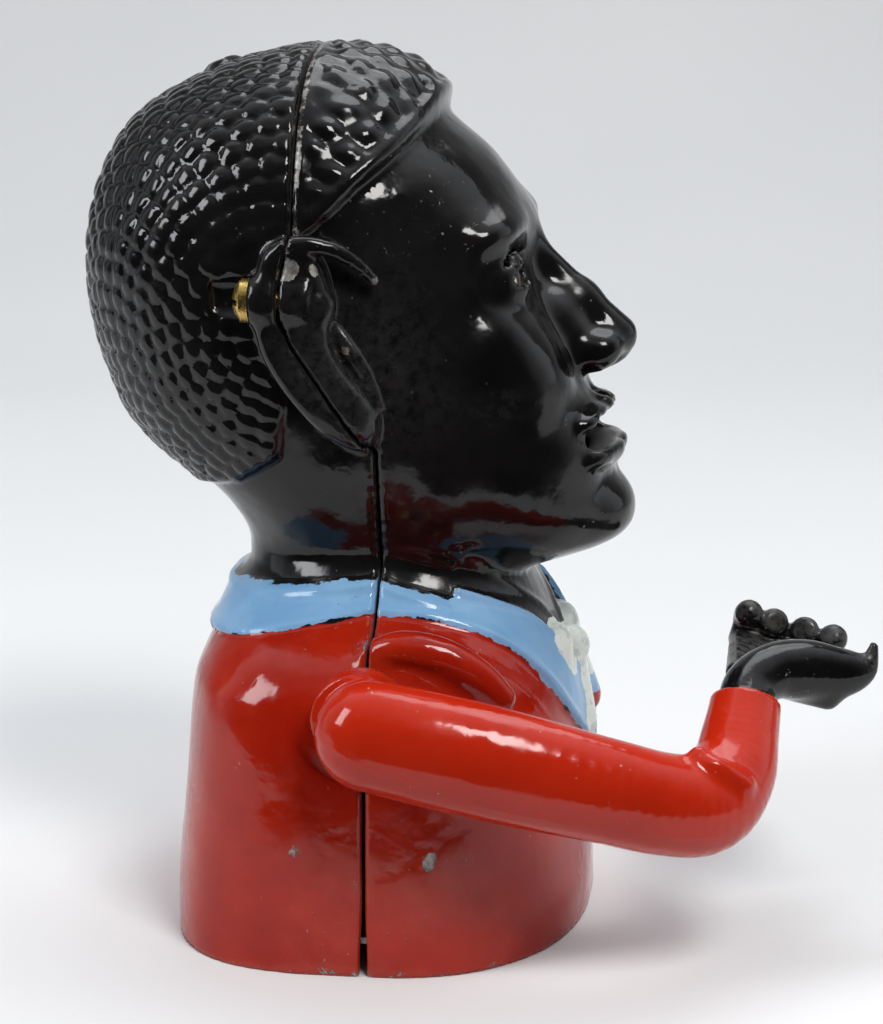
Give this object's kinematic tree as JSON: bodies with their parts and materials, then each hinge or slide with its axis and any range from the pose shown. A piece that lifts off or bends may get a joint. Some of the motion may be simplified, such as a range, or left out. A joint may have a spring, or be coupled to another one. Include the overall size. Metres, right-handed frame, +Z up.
{
  "type": "mechanical coin bank",
  "caption": "Hollow cast bust bank; pressing a rear thumb lever lifts the right arm to the mouth while the tongue tips and the eyes roll up.",
  "frame": {"origin": "on the resting plane at the middle of the base", "axes": "+X the way the figure faces, +Y to the figure's left, +Z up"},
  "size_m": [0.1481, 0.1148, 0.1611],
  "materials": {
    "enamel_front": "glossy enamel on cast aluminium",
    "enamel_back": "glossy enamel on cast aluminium",
    "enamel_arm": "glossy enamel on cast aluminium",
    "tongue_enamel": "satin enamel",
    "eye_enamel": "glossy enamel",
    "steel": "dull",
    "aluminium": "as cast",
    "brass": "aged",
    "lead": "dull grey"
  },
  "bodies": {
    "body": {"front_casting": "enamel_front", "back_casting": "enamel_back", "ear_screws": "brass", "base_plate": "steel", "base_screws": "steel", "lever_pin": "steel", "tongue_pin": "steel", "shaft_keepers": "brass"},
    "arm": {"arm_casting": "enamel_arm", "cross_shaft": "steel", "shoulder_washer": "brass", "drive_crank": "steel", "drive_crank_pin": "steel", "pull_crank": "steel", "pull_crank_pin": "steel", "crank_cross_pins": "brass", "shaft_collar": "brass"},
    "lever": {"thumb_lever": "aluminium"},
    "tongue_set": {"tongue": "tongue_enamel", "tongue_lift_pin": "steel", "tongue_eye_pin": "steel"},
    "lift": {"lift_link": "steel"},
    "eye_rod": {"eye_link": "steel"},
    "eyes": {"right_eye": "eye_enamel", "left_eye": "eye_enamel", "eye_shaft": "steel", "eye_crank": "steel", "eye_crank_pin": "steel", "eye_weight": "lead"},
    "trap": {"trap_cover": "steel", "trap_bar": "steel", "trap_rivet": "brass"}
  },
  "joints": [
    {"name": "arm_swing", "type": "hinge", "parent": "body", "child": "arm", "pos_m": [0.0018, 0, 0.0475], "axis": [0, -1, 0], "range_deg": [0, 45]},
    {"name": "lever_press", "type": "hinge", "parent": "body", "child": "lever", "pos_m": [-0.007, 0.0284, 0.0475], "axis": [0, -1, 0], "range_deg": [0, 26.01]},
    {"name": "tongue_tip", "type": "hinge", "parent": "body", "child": "tongue_set", "pos_m": [0.03134, 0, 0.08066], "axis": [0, -1, 0], "range_deg": [0, 33.9]},
    {"name": "lift_link_turn", "type": "hinge", "parent": "arm", "child": "lift", "pos_m": [-0.00168, 0.0148, 0.0547], "axis": [0, -1, 0], "range_deg": [-45, 0]},
    {"name": "eye_link_turn", "type": "hinge", "parent": "tongue_set", "child": "eye_rod", "pos_m": [0.02184, -0.0148, 0.08052], "axis": [0, -1, 0], "range_deg": [-33.9, 0]},
    {"name": "eyes_roll", "type": "hinge", "parent": "body", "child": "eyes", "pos_m": [0.01958, 0, 0.11735], "axis": [0, -1, 0], "range_deg": [0, 33.9]},
    {"name": "trap_turn", "type": "hinge", "parent": "body", "child": "trap", "pos_m": [0.002, 0, 0.006], "axis": [0, 0, 1], "range_deg": [0, 90]}
  ],
  "couplings": [
    {"joint": "lever_press", "follows": "arm_swing", "ratio": 0.5779},
    {"joint": "tongue_tip", "follows": "arm_swing", "ratio": 0.75342},
    {"joint": "lift_link_turn", "follows": "arm_swing", "ratio": -1},
    {"joint": "eye_link_turn", "follows": "arm_swing", "ratio": -0.75342},
    {"joint": "eyes_roll", "follows": "arm_swing", "ratio": 0.75342}
  ]
}
